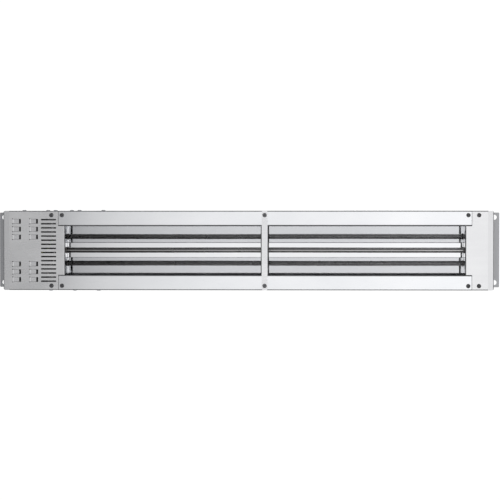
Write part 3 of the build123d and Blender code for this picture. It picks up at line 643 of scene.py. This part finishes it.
# ---- inlet bushing --------------------------------------------------------------
# Moulded black nylon, snapped into the top of the control bay for the supply cable.
# The rim is knurled: a row of soft scallops is taken off its radius.
inlet_low, inlet_high = (np.array(c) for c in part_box("inlet_bushing"))
inlet_centre = (inlet_low + inlet_high) / 2
rim_radius = (inlet_high[0] - inlet_low[0]) / 2
rim_top = inlet_high[2]
inlet_bore, inlet_neck, bore_seam = 0.008, 0.0109, -0.004
inlet_around, scallops, scallop_depth = 120, 24, 0.00035
inlet_profile = bend_round(
    [(inlet_bore, bore_seam), (inlet_bore, rim_top), (rim_radius, rim_top), (rim_radius, 0.0),
     (inlet_neck, 0.0), (inlet_neck, inlet_low[2]), (inlet_bore, inlet_low[2]),
     (inlet_bore, bore_seam)],
    (0.0007, 0.0009, 0.0002, 0.0002, 0.0008, 0.0005),
    7,
)[::-1]
inlet_angle = np.linspace(0.0, 2 * np.pi, inlet_around, endpoint=False)
on_rim = np.clip((inlet_profile[:, :1] - inlet_neck) / (rim_radius - inlet_neck), 0.0, 1.0) ** 6
knurl = -scallop_depth * on_rim * (0.5 - 0.5 * np.cos(scallops * inlet_angle)) ** 2
inlet_place = np.array([inlet_centre[0], inlet_centre[1], 0.0])
inlet = group_of("cable_bushing", [turned(inlet_profile, inlet_around, knurl) + inlet_place])
nylon, tree, shader = new_finish("moulded_nylon", (0.02, 0.02, 0.022), 0.45, 0.0)
mould = noise(tree, 700.0)
link(tree, blend_colours(tree, mould, (0.012, 0.012, 0.013), (0.035, 0.035, 0.037)),
     shader.inputs["Base Color"])
link(tree, remap(tree, mould, 0.3, 0.7, 0.38, 0.55), shader.inputs["Roughness"])
relief(tree, shader, mould, 0.00002)
wear(inlet, nylon)
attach(inlet, "root")
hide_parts("inlet_bushing")

# ---- screws -------------------------------------------------------------------
# Pan-head machine screws, cross recessed, with rolled threads. Those in the face are
# dark passivated steel, rubbed brighter on the crown; the rest are zinc plated.
face_head = (0.004, 0.0024)  # radius and height of a head
side_head = (0.0039, 0.0021)
screw_length = 0.007
screw_shank, screw_tip = 0.002, 0.0014
screw_around, crown_rings, thread_rings = 64, 26, 44
thread_pitch, thread_depth = 0.0007, 0.00022
head_gap = 0.009  # wider than one head, and less than the way to the next
first_turn, turn_between = 0.35, 1.9
crown_rub = 0.0021  # height over the face from which the crowns are rubbed bright


def pan_head_screw(radius, height, length):
    """Ring grid of one screw about Z, its underside at 0, from tip to crown. The crown is a
    low dome with a cross pressed into it, a product of soft steps in x and y that gets
    shallower outwards; the shank's radius follows a cosine of height over pitch minus the
    turn."""
    r = np.linspace(0.0, 1.0, crown_rings)[:, None] ** 0.85 * radius * 0.93
    dome = height * (1.0 - 0.42 * (r / radius) ** 2.2)
    rim = bend_round(
        [(r[-1, 0], dome[-1, 0]), (radius, dome[-1, 0] - 0.0003), (radius, 0.0),
         (screw_shank, 0.0), (screw_shank, -0.0004)],
        (0.00015, 0.0003, 0.0002),
    )[1:]
    thread_z = np.linspace(-0.0005, -length + 0.0004, thread_rings)
    shank = np.stack([np.full(thread_rings, screw_shank), thread_z], -1)
    tip = np.array([(screw_tip, -length), (0.0, -length)])
    profile = np.concatenate([np.concatenate([r, dome], -1), rim, shank, tip])
    angle = np.linspace(0.0, 2 * np.pi, screw_around, endpoint=False)
    ripple = np.zeros((len(profile), screw_around))
    first = crown_rings + len(rim)
    ripple[first:first + thread_rings] = -thread_depth * (
        0.5 - 0.5 * np.cos(2 * np.pi * thread_z[:, None] / thread_pitch - angle)
    )
    rings = turned(profile, screw_around, ripple)
    x, y = rings[:crown_rings, :, 0], rings[:crown_rings, :, 1]

    def within(u, half):
        """Soft step, 1 where |u| is under half."""
        return 1.0 / (1.0 + np.exp(np.clip((np.abs(u) - half) / 0.00006, -40, 40)))

    arm, slot = 0.58 * radius, 0.17 * radius
    cross = np.maximum(within(x, arm) * within(y, slot), within(y, arm) * within(x, slot))
    reach = np.clip(np.hypot(x, y) / arm, 0.0, 1.0)
    rings[:crown_rings, :, 2] -= cross * height * (0.68 - 0.30 * reach)
    return rings[::-1]


def head_middles(node, axis, height):
    """Middle of the underside of each screw's head in a CAD node, found by grouping the
    mesh's topmost points by their place across the axis to within one head."""
    mesh = nodes[node].data
    points = np.empty(len(mesh.vertices) * 3, dtype=np.float32)
    mesh.vertices.foreach_get("co", points)
    points = points.reshape(-1, 3).astype(float)
    along_axis = points @ axis
    heads = points[along_axis > along_axis.max() - 0.0001]
    flat = heads - np.outer(heads @ axis, axis)
    middles = []
    while len(flat):
        near = np.linalg.norm(flat - flat[0], axis=1) < head_gap
        middles.append((flat[near].min(0) + flat[near].max(0)) / 2)
        flat = flat[~near]
    return [middle + axis * (along_axis.max() - height) for middle in middles]


def screw_set(node, name, head, length, axis, material):
    """The screws of one CAD node, one at the middle of each loose solid's head. axis is the
    direction the heads point. Each screw is turned a little further than the one before."""
    axis = np.array(axis, float)
    shape = pan_head_screw(*head, length)
    u = np.array([0.0, 0.0, 1.0]) if abs(axis[2]) < 0.5 else np.array([1.0, 0.0, 0.0])
    v = np.cross(axis, u)
    shapes = []
    for i, middle in enumerate(head_middles(node, axis, head[1])):
        a = first_turn + turn_between * i
        first = np.cos(a) * u + np.sin(a) * v
        shapes.append(shape @ np.array([first, np.cross(axis, first), axis]) + middle)
    piece = group_of(name, shapes)
    wear(piece, material)
    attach(piece, "root")
    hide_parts(node)


passivated, tree, shader = new_finish("dark_passivated", (0.12, 0.12, 0.13), 0.32)
_, _, z = object_axes(tree)
rub = remap(tree, noise(tree, 900.0, detail=3.0), 0.38, 0.62)
crown = step_down(tree, z, face_z - crown_rub, 0.0006)
link(tree, blend_colours(tree, times(tree, rub, crown), (0.16, 0.16, 0.165), (0.50, 0.50, 0.51)),
     shader.inputs["Base Color"])
link(tree, remap(tree, rub, 0.0, 1.0, 0.28, 0.42), shader.inputs["Roughness"])
zinc, tree, shader = new_finish("zinc_plate", (0.62, 0.62, 0.63), 0.3)
spangle = remap(tree, noise(tree, 600.0, detail=3.0), 0.35, 0.65)
link(tree, blend_colours(tree, spangle, (0.50, 0.50, 0.52), (0.70, 0.70, 0.72)),
     shader.inputs["Base Color"])
link(tree, remap(tree, spangle, 0.0, 1.0, 0.25, 0.4), shader.inputs["Roughness"])

for node in ("rail_screws", "cover_screws", "strip_screws"):
    screw_set(node, f"pan_{node}", face_head, screw_length, (0, 0, -1), passivated)
for node, name, axis in (
    ("side_screws_front", "pan_side_front", (0, -1, 0)),
    ("side_screws_rear", "pan_side_rear", (0, 1, 0)),
    ("block_screws", "pan_block_screws", (0, 0, 1)),
):
    screw_set(node, name, side_head, screw_length, axis, zinc)
ground_low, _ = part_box("ground_screw")
screw_set("ground_screw", "pan_ground_screw", face_head, -ground_low[2], (0, 0, 1), passivated)
for name in ("reflector_screws", "pin_nuts", "ground_nut", "element_pins"):
    wear(nodes[name], zinc)

# ---- wiring -------------------------------------------------------------------
# Glass-braided silicone leads, a green and yellow earth lead, tinned crimp rings,
# silicone grommets, and a glazed porcelain block with brass clamp screws.
braid, tree, shader = new_finish("glass_braid", (0.8, 0.77, 0.68), 0.75, 0.0)
weave = tree.nodes.new("ShaderNodeTexWave")
weave.inputs["Scale"].default_value = 260.0
weave.inputs["Distortion"].default_value = 0.6
place = tree.nodes.new("ShaderNodeTexCoord")
link(tree, place.outputs["Object"], weave.inputs["Vector"])
link(tree, blend_colours(tree, weave.outputs["Fac"], (0.70, 0.66, 0.56), (0.86, 0.84, 0.78)),
     shader.inputs["Base Color"])
relief(tree, shader, weave.outputs["Fac"], 0.0001)
for name in ("lead_near", "lead_return"):
    wear(nodes[name], braid)

earth, tree, shader = new_finish("earth_insulation", (0.2, 0.45, 0.1), 0.45, 0.0)
x, _, z = object_axes(tree)
stripe = combine(tree, "SINE", times(tree, combine(tree, "SUBTRACT", x, z), 1400.0))
link(tree, blend_colours(tree, remap(tree, stripe, -0.05, 0.05), (0.05, 0.28, 0.07),
                         (0.72, 0.62, 0.06)), shader.inputs["Base Color"])
wear(nodes["ground_lead"], earth)


def mottled(name, rough, metallic, fineness, dark, pale, detail=2.0):
    """Finish whose colour drifts between dark and pale with a noise of this fineness;
    returns the material, its tree and the shader."""
    middle = tuple((low + high) / 2 for low, high in zip(dark, pale))
    material, tree, shader = new_finish(name, middle, rough, metallic)
    link(tree, blend_colours(tree, noise(tree, fineness, detail=detail), dark, pale),
         shader.inputs["Base Color"])
    return material, tree, shader


tinned, _, _ = mottled("tinned_copper", 0.3, 1.0, 500.0, (0.66, 0.66, 0.64), (0.86, 0.86, 0.84))
wear(nodes["ring_terminals"], tinned)
silicone, _, _ = mottled("red_silicone", 0.55, 0.0, 350.0, (0.30, 0.06, 0.035), (0.42, 0.10, 0.06))
wear(nodes["lead_grommets"], silicone)
glaze, tree, shader = mottled("glazed_porcelain", 0.18, 0.0, 120.0, (0.80, 0.79, 0.73),
                              (0.90, 0.89, 0.85), 3.0)
relief(tree, shader, noise(tree, 90.0), 0.0001)
wear(nodes["terminal_block"], glaze)
brass, _, _ = mottled("turned_brass", 0.28, 1.0, 400.0, (0.62, 0.44, 0.17), (0.80, 0.60, 0.28))
wear(nodes["terminal_screws"], brass)

# ---- insulation blanket ---------------------------------------------------------
# A strip of white ceramic fibre laid on the back of the reflector: soft corners, a
# hand-cut edge and a lumpy, loosely felted surface.
pad_low, pad_high = (np.array(c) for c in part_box("insulation_pad"))
pad_middle = (pad_low + pad_high) / 2
pad_half = (pad_high - pad_low) / 2 - (0.001, 0.001, 0.0006)
pad_rows, pad_around, closing_rows = 420, 96, 8
squareness = 0.35  # power of the superellipse: small is nearly a rectangle
# Each ring across the strip is a superellipse, (cos t, sin t) each to a small power with its
# sign kept. Waves in the length and breadth swell it and lift its top, and the rings shrink
# to a point over the closing rows at both ends.
body_rows = pad_rows - 2 * closing_rows
along = np.concatenate([
    np.full(closing_rows, -1.0), np.linspace(-1.0, 1.0, body_rows), np.full(closing_rows, 1.0),
])[:, None]
closing = np.linspace(0.0, 1.0, closing_rows) ** 0.5
shrink = np.concatenate([closing, np.ones(body_rows), closing[::-1]])[:, None]
pad_turn = np.linspace(0.0, 2 * np.pi, pad_around, endpoint=False)
across = np.sign(np.cos(pad_turn)) * np.abs(np.cos(pad_turn)) ** squareness
upward = np.sign(np.sin(pad_turn)) * np.abs(np.sin(pad_turn)) ** squareness
lumps = (
    0.45 * np.sin(61.0 * along + 3.0 * across) * np.cos(2.3 * across + 17.0 * along)
    + 0.30 * np.sin(143.0 * along - 5.0 * across + 1.3)
    + 0.25 * np.cos(311.0 * along + 11.0 * across)
)
top = np.clip(upward, 0.0, 1.0)
pad_points = np.stack([
    pad_middle[0] + pad_half[0] * along + 0.00025 * shrink * lumps,
    pad_middle[1] + (pad_half[1] + 0.0007 * lumps) * across * shrink,
    pad_middle[2] + pad_half[2] * upward * shrink + top * shrink * (0.0005 * lumps - 0.0003),
], -1)
blanket = group_of("fibre_blanket", [pad_points[::-1]])
fibre, tree, shader = new_finish("ceramic_fibre", (0.86, 0.85, 0.80), 0.95, 0.0)
shader.inputs["Sheen Weight"].default_value = 0.3
felt = noise(tree, 900.0, (0.3, 1.0, 1.0), 5.0)
link(tree, blend_colours(tree, felt, (0.74, 0.72, 0.66), (0.93, 0.92, 0.88)),
     shader.inputs["Base Color"])
relief(tree, shader, felt, 0.0004)
wear(blanket, fibre)
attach(blanket, "root")
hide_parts("insulation_pad")
